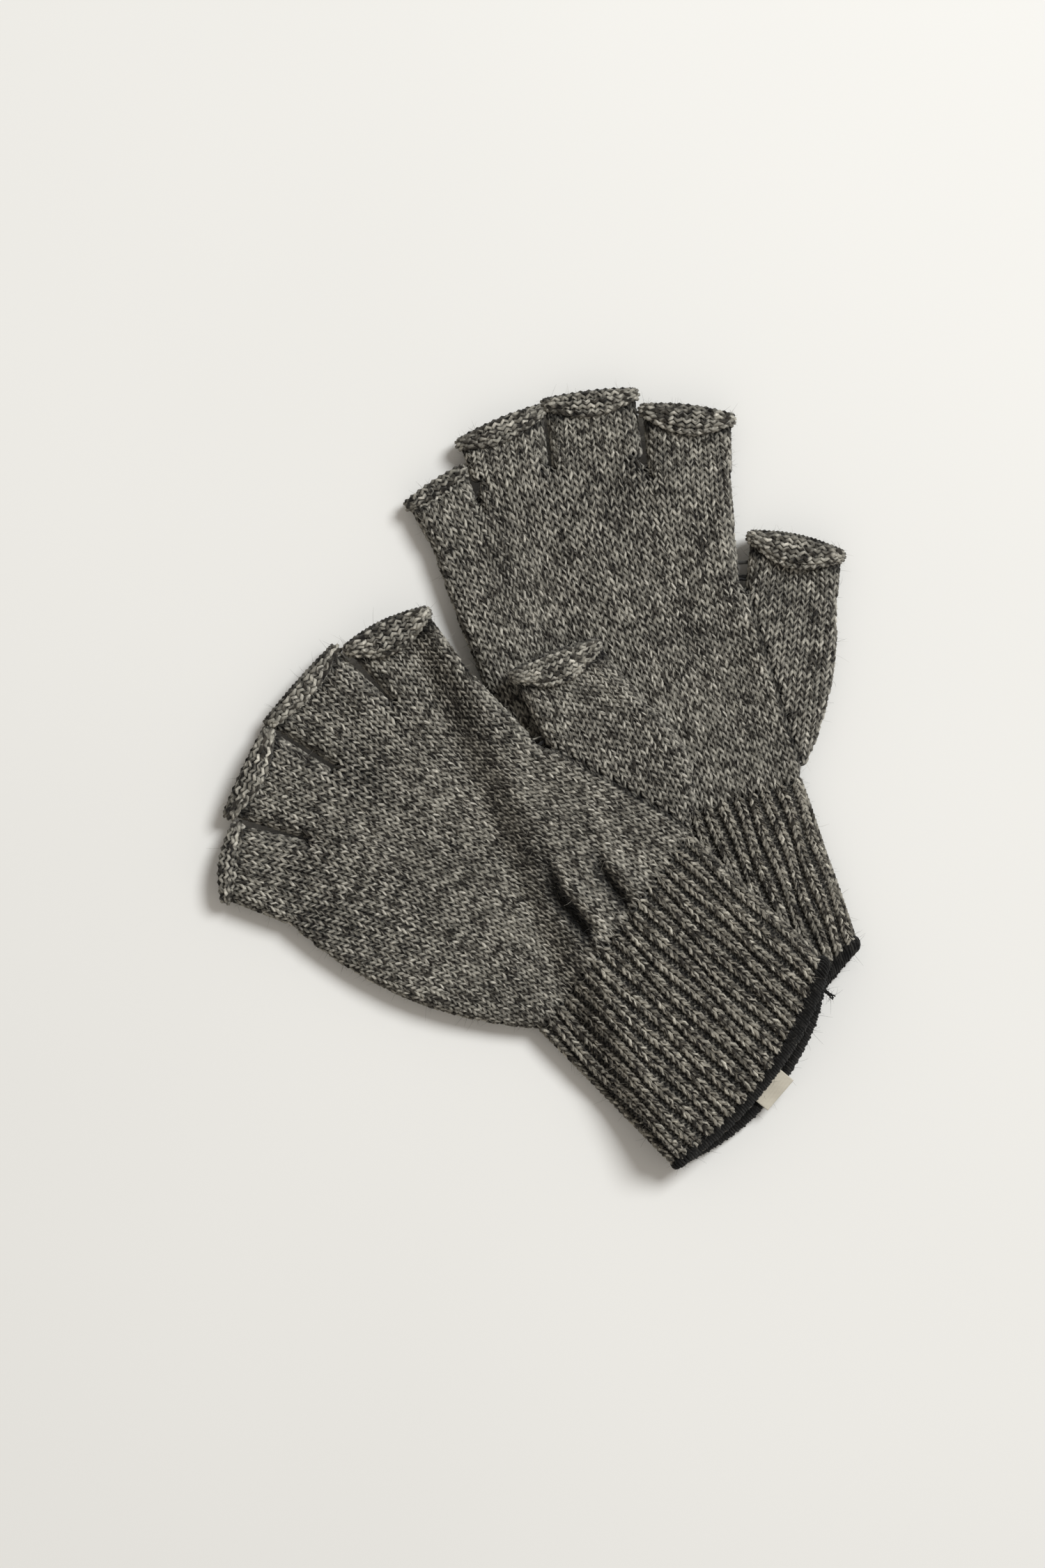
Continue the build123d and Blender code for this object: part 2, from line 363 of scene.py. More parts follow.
def relief(glove, points):
    """Gentle unevenness and pressed folds of the upper sheet."""
    x, y = points[..., 0], points[..., 1]
    height = SAG
    for size, run_x, run_y, phase in UNEVENNESS:
        height = height + size * np.sin(x / run_x + y / run_y + phase)
    for line, depth, half_width, bank_height in CREASES[glove.name]:
        knots = [placed(point) for point in line]
        distance, foot = nearest_on(points, list(zip(knots[:-1], knots[1:])))
        way = unit(knots[-1] - knots[0])
        along = (foot - knots[0]) @ way / np.linalg.norm(knots[-1] - knots[0])
        deepening = SHALLOW_SHARE + (1 - SHALLOW_SHARE) * smoothstep(along / DEEP_FROM)
        thumb_side = np.where((points - foot) @ turned_left(way) > 0, distance, -distance)
        valley = np.exp(-(distance / np.where(thumb_side > 0, STEEP_SIDE, 1.0) / half_width) ** 2)
        bank = np.exp(-((thumb_side - BANK_PLACE * half_width) / (BANK_WIDTH * half_width)) ** 2)
        height = height + deepening * (bank_height * bank - depth * valley)
    return height


class Tube:
    """A flattened knitted tube ruled between two side lines, such as a digit or a cuff.

    Coordinates: u in wales round the whole tube (0 to 2 x wales, the upper sheet
    first, left to right), v in courses from the base.
    """

    def __init__(self, glove, starts, ends, wales, half_heights, bows, skin=SKIN,
                 base_wales=None, roll_radius=0.0, rib=False):
        self.glove = glove
        self.starts, self.ends = starts, ends
        self.wales, self.base_wales = wales, base_wales
        self.half_heights = half_heights
        self.bows = bows
        self.skin = skin
        self.roll_radius = roll_radius
        self.rib = rib
        middle_start = (starts[0] + starts[1]) / 2
        middle_end = (ends[0] + ends[1]) / 2
        self.along = turned_left(unit(ends[1] - ends[0]))
        self.along = self.along * np.sign(self.along @ (middle_end - middle_start))
        self.length = np.linalg.norm(middle_end - middle_start)
        self.courses = round(self.length / COURSE)
        mean_radius = roll_radius * math.sqrt((1 + ROLL_FLATNESS ** 2) / 2)
        self.roll_courses = round(mean_radius * ROLL_TURN / ROLL_COURSE)

    def turned(self, v):
        """How far round the roll a course is, in radians."""
        return np.maximum(v - self.courses, 0) / max(self.roll_courses, 1) * ROLL_TURN

    def unrolled(self, u, width, v):
        """Distance across the unrolled sheet for a wale count, evened out up the tube."""
        total = width + 2 * EDGE_EXTRA
        even = u / self.wales * total
        if self.base_wales is None:
            return even
        extra = (self.wales - self.base_wales) / 2
        room = EDGE_EXTRA - self.skin
        middle = room + (u - extra) / self.base_wales * (total - 2 * room)
        matched = np.where(u < extra, u / extra * room, middle)
        matched = np.where(u > self.wales - extra, total - (self.wales - u) / extra * room, matched)
        share = 1 - smoothstep(v / EVENING_OUT)
        return even * (1 - share) + matched * share

    def surface(self, u, v):
        """Middle of the cloth and its outward normal."""
        u = np.mod(u, 2 * self.wales)
        on_top = u < self.wales
        across = np.where(on_top, u, 2 * self.wales - u)
        flat_share = np.clip(v / self.courses, None, 1.0)[..., None]
        left, right = (start * (1 - flat_share) + end * flat_share
                       for start, end in zip(self.starts, self.ends))
        middle = (left + right) / 2
        side = unit(right - left)
        near_end = smoothstep(1 - (1 - flat_share[..., 0]) * self.length / ROLL_PINCH)
        width = np.linalg.norm(right - left, axis=-1) - 2 * self.skin
        half_height = self.half_heights[0] * (1 - near_end) + self.half_heights[1] * near_end

        distance = self.unrolled(across, width, v)
        to_edge = np.minimum(distance, width + 2 * EDGE_EXTRA - distance)
        sign = np.where(distance < width / 2 + EDGE_EXTRA, -1.0, 1.0)
        angle = np.minimum(to_edge / EDGE_RADIUS, math.pi / 2)
        past = np.maximum(to_edge - EDGE_ARC, 0)
        lateral = sign * (width / 2 - EDGE_RADIUS * (1 - np.cos(angle)) - past)
        up = np.where(on_top, 1.0, -1.0)
        height = up * half_height * np.sin(angle)
        normal_side = sign * half_height * np.cos(angle)
        normal_up = up * EDGE_RADIUS * np.sin(angle)
        size = np.hypot(normal_side, normal_up)
        normal = with_height(side * (normal_side / size)[..., None], normal_up / size)

        bow = np.where(on_top, self.bows[0], self.bows[1])
        crown = bow * (1 - np.clip(2 * np.abs(lateral) / np.maximum(width, 1), 0, 1) ** 2)
        ahead = (crown * flat_share[..., 0] ** 2)[..., None]
        plan = middle + side * lateral[..., None] + self.along * ahead
        position = with_height(plan, SHEET_MIDDLE + height)
        if self.roll_radius:
            forward = np.append(self.along, 0.0)
            turn = self.turned(v)
            middle_share = 1 - np.clip(2 * np.abs(lateral) / width, 0, 1) ** 2
            radius = ROLL_CORNER + (self.roll_radius - ROLL_CORNER) * middle_share
            thickness = radius * ROLL_FLATNESS
            position += forward * (radius * np.sin(turn))[..., None]
            position += normal * (thickness * (1 - np.cos(turn)))[..., None]
            normal = unit(normal * (radius * np.cos(turn))[..., None]
                          - forward * (thickness * np.sin(turn))[..., None])
            rise = 2 * self.roll_radius * ROLL_FLATNESS + half_height - HALF_HEIGHT
            position[..., 2] += near_end * rise
        weight = np.where(on_top, np.sin(angle), 0.0)
        position[..., 2] += weight * relief(self.glove, plan) + lift(self.glove, plan)
        return position, normal

    def courses_of_yarn(self, first, count):
        """Closed rings of loops: points, normals, heights over the cloth with painted shade under a
        roll, which side shows.
        """
        phase = np.arange(2 * self.wales * LOOP_SAMPLES) / LOOP_SAMPLES * 2 * math.pi - math.pi
        rows = np.arange(first, first + count)[:, None]
        u, reach, depth = loop_shape(phase)
        if self.rib:
            plain = np.tanh(RIB_SQUARENESS * np.cos(math.pi * u)) / math.tanh(RIB_SQUARENESS)
            depth = depth * plain + RIB_DEPTH * plain
            waves = RIB_WAVES * math.pi * u / self.wales + RIB_WAVE_STEP * rows
            drift = RIB_DRIFT * np.sin(waves)
            u = u + RIB_SPREAD / math.pi * np.sin(math.pi * u) + drift
        u = np.broadcast_to(u + 0.5, (count, len(phase)))
        v = rows + 0.5 + reach
        position, normal = self.surface(u, v)
        facing = np.cos(np.minimum(self.turned(v), math.pi))
        height = depth * (1 + ROLL_LOOSENESS * (1 - facing) / 2)
        shading_height = height
        if self.roll_radius:
            # Painted shade: the cloth just under a roll is coloured darker, as if sunk deeper.
            covered = smoothstep(v - self.courses + (self.roll_radius + COURSE) / COURSE)
            shading_height = height - UNDER_ROLL_SHADE * covered * np.maximum(facing, 0)
        return position + normal * height[..., None], normal, shading_height, facing


def loop_shape(phase):
    """One loop a turn: wale position, course position and depth of plain knitting."""
    u = (phase + LOOP_SWAY * np.sin(2 * phase)) / (2 * math.pi)
    return u, LOOP_REACH * np.cos(phase), -LOOP_DEPTH * np.cos(2 * phase)


class Hand:
    """Palm and back of one glove, knitted from the wrist to the bases of the fingers."""

    def __init__(self, glove):
        self.glove = glove
        self.fingers = glove.digits[:-1]
        self.thumb = glove.digits[-1]
        self.wales = sum(digit.wales for digit in self.fingers)
        self.courses = COURSES_IN_HAND[glove.name]
        self.knots_u, self.knots_plan = self.facet_chain()
        edge = np.linspace(0, self.courses, LINE_POINTS)
        self.gusset_line = self.palm_plan(np.full(LINE_POINTS, float(self.wales)), edge)

    def facet_chain(self):
        """The knuckle line from finger to finger, rounded off, against the wale count."""
        knots_u, knots_plan, u = [], [], 0
        for digit in self.fingers:
            knots_u += [u, u + digit.wales - 0.01]
            knots_plan += digit.side_points(0)
            u += digit.wales
        knots_plan = np.array(knots_plan)
        fine = np.linspace(0, self.wales, STEPS_A_WALE * self.wales + 1)
        line = np.stack([np.interp(fine, knots_u, knots_plan[:, k]) for k in (0, 1)], axis=-1)
        before = 2 * line[:1] - line[SMOOTHING:0:-1]
        after = 2 * line[-1:] - line[-2:-SMOOTHING - 2:-1]
        padded = np.concatenate([before, line, after])
        kernel = np.ones(2 * SMOOTHING + 1) / (2 * SMOOTHING + 1)
        smooth = np.stack([np.convolve(padded[:, k], kernel, "valid") for k in (0, 1)], axis=-1)
        return fine, smooth

    def palm_plan(self, u, v):
        """Plan point of the palm's flat layout; u counts wales from the little finger's side."""
        room = EDGE_EXTRA - SKIN
        waist = self.glove.waist
        waist_width = np.linalg.norm(waist[1] - waist[0]) + 2 * room
        along = u / self.wales * waist_width - room
        start = waist[0] + self.glove.waist_across * along[..., None]
        end = np.stack([np.interp(u, self.knots_u, self.knots_plan[:, k]) for k in (0, 1)], axis=-1)
        outside_left = np.minimum(u, 0)[..., None] * WALE
        outside_right = np.maximum(u - self.wales, 0)[..., None] * WALE
        end = end + self.fingers[0].across * outside_left + self.fingers[-1].across * outside_right
        counts = np.array([digit.wales for digit in self.fingers])
        centres = np.cumsum(counts) - counts / 2
        angles = [math.atan2(digit.along[1], digit.along[0]) for digit in self.fingers]
        angle = np.interp(u, centres, angles)
        pull = np.linalg.norm(end - start, axis=-1)[..., None]
        start_way = self.glove.up_hand * pull
        end_way = np.stack([np.cos(angle), np.sin(angle)], axis=-1) * pull
        t = (v / self.courses)[..., None]
        return ((2 * t ** 3 - 3 * t ** 2 + 1) * start + (t ** 3 - 2 * t ** 2 + t) * start_way
                + (3 * t ** 2 - 2 * t ** 3) * end + (t ** 3 - t ** 2) * end_way)

    def gusset_plan(self, u, v):
        """The same for the thumb's gusset, where v counts back from the base of the thumb."""
        pitch = self.thumb.base_width / self.thumb.wales
        across = (u - self.thumb.wales / 2) * pitch
        back = v * COURSE
        return (self.thumb.base + self.thumb.across * across[..., None]
                - self.thumb.along * back[..., None])

    def past_gusset_line(self, points):
        """Distance to the thumb's side of the line where palm and gusset meet."""
        line = self.gusset_line
        distance, foot = nearest_on(points, list(zip(line[:-1], line[1:])))
        way = unit(line[-1] - line[0])
        return np.where((points - foot) @ turned_right(way) > 0, distance, -distance)

    def edge_distance(self, points):
        """Arc distance from the fold between the sheets, and the way in from the edge."""
        distance, foot = nearest_on(points, self.glove.sides)
        inside = is_inside(points, self.glove.inside)
        signed = np.where(inside, distance, -distance)
        inward = unit(np.where(inside[..., None], points - foot, foot - points))
        return signed - SKIN + EDGE_EXTRA, foot, inward

    def surface(self, points, top):
        """Middle of the cloth and outward normal over plan points of the flat layout."""
        arc, foot, inward = self.edge_distance(points)
        angle = np.clip(arc / EDGE_RADIUS, 0, math.pi / 2)
        near = (arc < EDGE_ARC)[..., None]
        wrapped = foot + inward * (SKIN + EDGE_RADIUS * (1 - np.cos(angle)))[..., None]
        plan = np.where(near, wrapped, points)
        up = 1.0 if top else -1.0
        height = SHEET_MIDDLE + up * HALF_HEIGHT * np.sin(angle) + lift(self.glove, plan)
        if top:
            height = height + np.sin(angle) * relief(self.glove, plan)
        normal = with_height(-inward * np.cos(angle)[..., None], up * np.sin(angle))
        return with_height(plan, height), normal

    def strands(self, layout, wales, row, keep, direction, tuck):
        """Yarn paths of one course: each kept run of the upper sheet and its lower twin."""
        samples = (wales + 2 * SPARE_WALES) * LOOP_SAMPLES
        phase = (np.arange(samples + 1) / LOOP_SAMPLES - SPARE_WALES) * 2 * math.pi - math.pi
        u, reach, depth = loop_shape(phase)
        u = u + 0.5
        plan = layout(u, row + direction * reach)
        arc, _, _ = self.edge_distance(plan)
        kept = (arc > 0) & keep(u, plan)
        changes = np.flatnonzero(np.diff(np.concatenate([[0], kept.astype(int), [0]])))
        paths = []
        for first, last in zip(changes[::2], changes[1::2]):
            if last - first < LOOP_SAMPLES:
                continue
            run = slice(first, last)
            ends_at_edge = [first > 0 and arc[first - 1] <= 0, last < len(arc) and arc[last] <= 0]
            rise = depth[run] - tuck(u[run], plan[run])
            # Painted shade: yarn of the upper sheet is coloured darker where a fold is pressed in.
            pit = PIT_SHADE * np.minimum(relief(self.glove, plan[run]), 0)
            halves = []
            for top in (True, False):
                position, normal = self.surface(plan[run], top)
                halves.append((position + normal * rise[:, None], normal, rise + pit * top))
            paths += joined_halves(*halves, ends_at_edge)
        return paths

    def palm_course(self, row):
        def keep(u, plan):
            """Up to the gusset, and on into the corner between index finger and thumb."""
            past_base = plan - self.thumb.base
            beside_thumb = past_base @ self.thumb.across < THUMB_OVERLAP - self.thumb.base_width / 2
            above_gusset = past_base @ self.thumb.along > -COURSE / 2
            return (u < self.wales) | (beside_thumb & above_gusset)

        def tuck(u, plan):
            past_crotch = (plan - self.glove.crotch) @ self.fingers[-1].along
            below_crotch = smoothstep((CROTCH_FADE - past_crotch) / CROTCH_FADE)
            return SEAM_TUCK * smoothstep((u - self.wales + SEAM_WALES) / SEAM_WALES) * below_crotch

        return self.strands(self.palm_plan, self.wales, row, keep, 1, tuck)

    def gusset_course(self, row):
        def keep(u, plan):
            return self.past_gusset_line(plan) > -GUSSET_OVERLAP

        def tuck(u, plan):
            start, run = GUSSET_TUCK
            return SEAM_TUCK * smoothstep((start - self.past_gusset_line(plan)) / run)

        return self.strands(self.gusset_plan, self.thumb.wales, row, keep, -1, tuck)


def joined(first, second):
    return [np.concatenate(pair) for pair in zip(first, second)]


def backwards(run):
    return [values[::-1] for values in run]


def joined_halves(top, low, ends_at_edge):
    """Joins an upper run to its lower twin where both reach the fold at the edge."""
    if ends_at_edge[1]:
        return [(*joined(top, backwards(low)), ends_at_edge[0])]
    if ends_at_edge[0]:
        return [(*joined(backwards(top), low), False)]
    return [(*top, False), (*low, False)]


class YarnMesh:
    """Collects yarn tubes and loose fibres, and builds one mesh from them.

    The Yarn layer holds millimetres along the yarn and turns round it. The OFBake
    layer cuts the yarn into equal strips laid side by side. The Open share is 1 on
    the yarn that stands proud of the cloth and 0 deep between the stitches; the yarn
    materials darken low shares as painted shade.
    """

    def __init__(self):
        self.points = []
        self.quads = []
        self.yarn_uv = []
        self.open = []
        self.count = 0
        self.length = 0.0
        self.roots = []

    def add(self, path, normals, radius, closed, height=0.0, facing=1.0):
        """One yarn; radius, height and facing are each a number, or one number a point."""
        sides = YARN_SIDES
        if closed:
            tangent = unit(np.roll(path, -1, axis=0) - np.roll(path, 1, axis=0))
        else:
            tangent = unit(np.gradient(path, axis=0))
        binormal = unit(np.cross(tangent, normals))
        normal = np.cross(binormal, tangent)
        turn = np.arange(sides) / sides * 2 * math.pi
        ring = (normal[:, None] * np.cos(turn)[None, :, None]
                + binormal[:, None] * np.sin(turn)[None, :, None])
        radius = np.broadcast_to(radius, len(path))
        height = np.broadcast_to(height, len(path))
        facing = np.broadcast_to(facing, len(path))
        points = path[:, None] + ring * radius[:, None, None]
        self.points.append(points.reshape(-1, 3))
        # Open share, the mask for painted shade: lower the deeper a point lies below the cloth's
        # face, and on the inner side of each yarn.
        rise = height[:, None] + radius[:, None] * np.cos(turn)
        rise = rise / (LOOP_DEPTH + YARN_RADIUS) * facing[:, None]
        self.open.append(smoothstep((rise + 1) / 2).ravel())
        self.roots.append((path, normal * np.sign(facing)[:, None], binormal, radius))

        around = len(path) if closed else len(path) - 1
        step = np.arange(around)[:, None]
        side = np.arange(sides)[None, :]
        after = (step + 1) % len(path)
        next_side = (side + 1) % sides
        self.add_quads(step * sides + side, step * sides + next_side,
                       after * sides + next_side, after * sides + side)
        reach = np.linalg.norm(np.roll(path, -1, axis=0) - path, axis=1)[:around]
        start = self.length + np.concatenate([[0], np.cumsum(reach)])
        along = np.stack([start[:-1], start[:-1], start[1:], start[1:]], axis=-1)[:, None, :]
        round_it = np.stack([side, side + 1, side + 1, side], axis=-1) / sides
        uv = np.stack(np.broadcast_arrays(along, round_it), axis=-1)
        self.yarn_uv.append(uv.reshape(-1, 4, 2))
        self.count += len(path) * sides
        self.length = start[-1] + STRAND_GAP
        if not closed:
            self.cap(self.count - len(path) * sides, [(3, 2, 1, 0), (0, 4, 3, 3)])
            self.cap(self.count - sides, [(0, 1, 2, 3), (0, 3, 4, 4)])

    def add_quads(self, *corners):
        """Quads from the grids of their four corners, counted from the last point added."""
        quads = np.stack(np.broadcast_arrays(*corners), axis=-1).reshape(-1, 4)
        self.quads.append(quads + self.count)

    def cap(self, ring, corners):
        """Shuts an open end of a five-sided yarn with a quad and a triangle."""
        self.quads.append(ring + np.array(corners))
        self.yarn_uv.append(np.full((2, 4, 2), (self.length, 0.5)))

    def add_fuzz(self, share):
        """Fine loose fibres that stand out of the yarn."""
        for path, normal, binormal, radius in list(self.roots):
            count = RANDOM.poisson(share * len(path))
            if count == 0:
                continue
            k = RANDOM.integers(0, len(path), count)
            turn = RANDOM.uniform(-FIBRE_SPREAD, FIBRE_SPREAD, count)[:, None]
            out = normal[k] * np.cos(turn) + binormal[k] * np.sin(turn)
            drift = unit(RANDOM.normal(size=(count, 3)))
            bend = unit(RANDOM.normal(size=(count, 3)))
            length = RANDOM.uniform(*FIBRE_LENGTHS, count)[:, None, None]
            base = path[k] + out * (radius[k] * FIBRE_ROOT)[:, None]
            way = unit(out + FIBRE_STRAY * drift)
            t = np.linspace(0, 1, FIBRE_POINTS)[None, :, None]
            self.add_fibres(base[:, None] + way[:, None] * length * t
                            + bend[:, None] * length * FIBRE_BEND * t ** 2)

    def add_fibres(self, curves):
        """Thin hairs, all of the same number of points."""
        count, steps, _ = curves.shape
        tangent = unit(np.gradient(curves, axis=1))
        helper = np.array([0.31, 0.52, 0.79])
        out = unit(np.cross(tangent, helper))
        other = np.cross(tangent, out)
        sides = FIBRE_SIDES
        turn = np.arange(sides) / sides * 2 * math.pi
        thick = np.linspace(*FIBRE_RADII, steps)[None, :, None, None]
        ring = out[:, :, None] * np.cos(turn)[:, None] + other[:, :, None] * np.sin(turn)[:, None]
        points = curves[:, :, None] + ring * thick
        self.points.append(points.reshape(-1, 3))
        hair = np.arange(count)[:, None, None]
        ring_start = (hair * steps + np.arange(steps - 1)[None, :, None]) * sides
        side = np.arange(sides)[None, None, :]
        next_side = (side + 1) % sides
        self.add_quads(ring_start + side, ring_start + next_side,
                       ring_start + sides + next_side, ring_start + sides + side)
        places = RANDOM.uniform(0, max(self.length, 1), (count, 1, 1, 1, 1))
        corner_uv = np.broadcast_to(places, (count, steps - 1, sides, 4, 2))
        self.yarn_uv.append(corner_uv.reshape(-1, 4, 2))
        self.open.append(np.ones(count * steps * sides))
        self.count += count * steps * sides

    def bake_uv(self, yarn_uv):
        """Strips of equal length stacked up the map."""
        fitting = math.sqrt(self.length / (STRIP_WIDTH * YARN_RADIUS))
        strips = max(FEWEST_STRIPS, math.ceil(fitting))
        strip_length = self.length / strips
        start = yarn_uv[:, :, 0].min(axis=1, keepdims=True)
        strip = np.floor(start / strip_length)
        u = (yarn_uv[:, :, 0] - strip * strip_length) / strip_length * STRIP_FILL
        v = (strip + STRIP_MARGIN + (1 - 2 * STRIP_MARGIN) * yarn_uv[:, :, 1]) / (strips + 1)
        return np.clip(np.stack([u, v], axis=-1), 0, 1)

    def build(self, name, material):
        points = np.concatenate(self.points)
        points[:, 2] = np.maximum(points[:, 2], FLOOR_GAP)
        points = points * MM
        quads = np.concatenate(self.quads)
        yarn_uv = np.concatenate(self.yarn_uv)
        layers = {"Yarn": yarn_uv, "OFBake": self.bake_uv(yarn_uv)}
        piece = mesh_object(name, points, quads, layers, material)
        share = piece.data.attributes.new("Open", "FLOAT", "POINT")
        share.data.foreach_set("value", np.concatenate(self.open).astype(np.float32))
        return piece


def mesh_object(name, points, quads, layers, material):
    """A mesh of quads; a quad whose last two corners are the same becomes a triangle."""
    mesh = bpy.data.meshes.new(name)
    triangles = quads[:, 3] == quads[:, 2]
    sizes = np.where(triangles, 3, 4)
    used = np.ones(quads.shape, bool)
    used[triangles, 3] = False
    mesh.vertices.add(len(points))
    mesh.vertices.foreach_set("co", points.astype(np.float32).ravel())
    mesh.loops.add(int(sizes.sum()))
    mesh.loops.foreach_set("vertex_index", quads[used].astype(np.int32))
    mesh.polygons.add(len(quads))
    starts = np.concatenate([[0], np.cumsum(sizes)[:-1]])
    mesh.polygons.foreach_set("loop_start", starts.astype(np.int32))
    mesh.polygons.foreach_set("use_smooth", np.ones(len(quads), bool))
    mesh.update(calc_edges=True)
    for layer_name, corners in layers.items():
        layer = mesh.uv_layers.new(name=layer_name)
        layer.data.foreach_set("uv", corners[used].astype(np.float32).ravel())
    mesh.validate()
    mesh.materials.append(material)
    return linked(name, mesh)


def linked(name, data):
    """A new object in the scene."""
    made = bpy.data.objects.new(name, data)
    bpy.context.scene.collection.objects.link(made)
    return made


# Materials


class Nodes:
    """Short names for wiring a node tree."""

    def __init__(self, name):
        self.material = bpy.data.materials.new(name)
        self.material.use_nodes = True
        self.tree = self.material.node_tree
        self.shader = self.tree.nodes["Principled BSDF"]

    def node(self, kind, **values):
        node = self.tree.nodes.new(kind)
        for key, value in values.items():
            setattr(node, key, value)
        return node

    def link(self, source, target):
        """Feeds a socket with an output or sets it to a number."""
        if isinstance(source, (int, float)):
            target.default_value = source
        else:
            self.tree.links.new(source, target)

    def math(self, operation, first, second=0.0, third=0.0):
        node = self.node("ShaderNodeMath", operation=operation)
        for socket, value in zip(node.inputs, (first, second, third)):
            self.link(value, socket)
        return node.outputs[0]

    def uv_parts(self, layer):
        split = self.node("ShaderNodeSeparateXYZ")
        self.link(self.node("ShaderNodeUVMap", uv_map=layer).outputs["UV"], split.inputs["Vector"])
        return split.outputs["X"], split.outputs["Y"]

    def noise(self, vector, scale, detail=2.0):
        node = self.node("ShaderNodeTexNoise")
        node.inputs["Scale"].default_value = scale
        node.inputs["Detail"].default_value = detail
        self.link(vector, node.inputs["Vector"])
        return node.outputs["Fac"]

    def ramp(self, factor, stops):
        node = self.node("ShaderNodeValToRGB")
        ends = node.color_ramp.elements
        for k, (position, colour) in enumerate(stops):
            stop = ends[k] if k < 2 else ends.new(position)
            stop.position = position
            stop.color = (*colour, 1.0)
        self.link(factor, node.inputs["Fac"])
        return node.outputs["Color"]

    def centred(self, noise, weight):
        """A noise moved to wander about nought by up to half its weight."""
        return self.math("MULTIPLY", self.math("SUBTRACT", noise, 0.5), weight)

    def spot(self, **parts):
        """A point for a texture from numbers and outputs."""
        node = self.node("ShaderNodeCombineXYZ")
        for axis, value in parts.items():
            self.link(value, node.inputs[axis])
        return node.outputs["Vector"]

    def finish(self, colour, roughness, height=None, strength=0.0, distance=0.0):
        """Sets the shader's colour and roughness, and bumps of a height in millimetres."""
        self.link(colour, self.shader.inputs["Base Color"])
        self.shader.inputs["Roughness"].default_value = roughness
        if height is not None:
            bump = self.node("ShaderNodeBump")
            bump.inputs["Strength"].default_value = strength
            bump.inputs["Distance"].default_value = distance * MM
            self.link(height, bump.inputs["Height"])
            self.link(bump.outputs["Normal"], self.shader.inputs["Normal"])
        return self.material

    def mix(self, factor, first, second):
        node = self.node("ShaderNodeMix", data_type="RGBA")
        for socket, value in (("Factor", factor), ("A", first), ("B", second)):
            self.link(value, node.inputs[socket])
        return node.outputs["Result"]


def linear(*levels):
    """An sRGB colour given in 0 to 255, as the shader wants it."""
    shares = [level / 255 for level in levels]
    return tuple(s / 12.92 if s <= 0.04045 else ((s + 0.055) / 1.055) ** 2.4 for s in shares)


# Noises along the yarn: millimetres of yarn for each, where it is read, detail
SLACK_NOISE = (13.0, 83.0, 1.0)
MOTTLE_NOISE = (34.0, 61.0, 1.0)
PATCH_NOISE = (3.0, 7.0, 2.0)
DARK_NOISE = (4.0, 23.0, 2.0)
LIGHT_NOISE = (6.0, 41.0, 2.0)
ROUND_YARN = 0.6  # noise for each turn round the yarn
SLACK_TURNS = 4.0  # by which the plies' twist wanders
MOTTLE_WEIGHT = 2.4
PATCH_WEIGHT = 4.8
PLY_WEIGHT = 0.36  # of the two plies against those patches
FIBRE_RUN = (0.9, 9.0)  # fibre noise for each millimetre along and each turn round
FIBRE_NOISE = (1.4, 3.0)
FLECK = 1.3  # strength of single fibres' lightness
CREVICE_POWER = 2.7  # painted shade: how quickly yarn darkens with depth between the stitches
CLOTH_NOISE = (90.0, 2.0)  # patches of the whole cloth
CLOTH_WEIGHT = 0.6
PLY_RELIEF = 0.35
WOOL_ROUGHNESS = 0.95
WOOL_SPECULAR = 0.1
WOOL_SHEEN_ROUGHNESS = 0.6
WOOL_BUMP = (0.9, 0.25)  # strength, and height in millimetres
WARP_PITCH = 0.34
WEFT_PITCH = 0.42
LABEL_BUMP = (0.6, 0.06)
LABEL_ROUGHNESS = 0.6
LABEL_SHEEN = 0.2
FLOOR_NOISE = 3.0
FLOOR_ROUGHNESS = 0.7


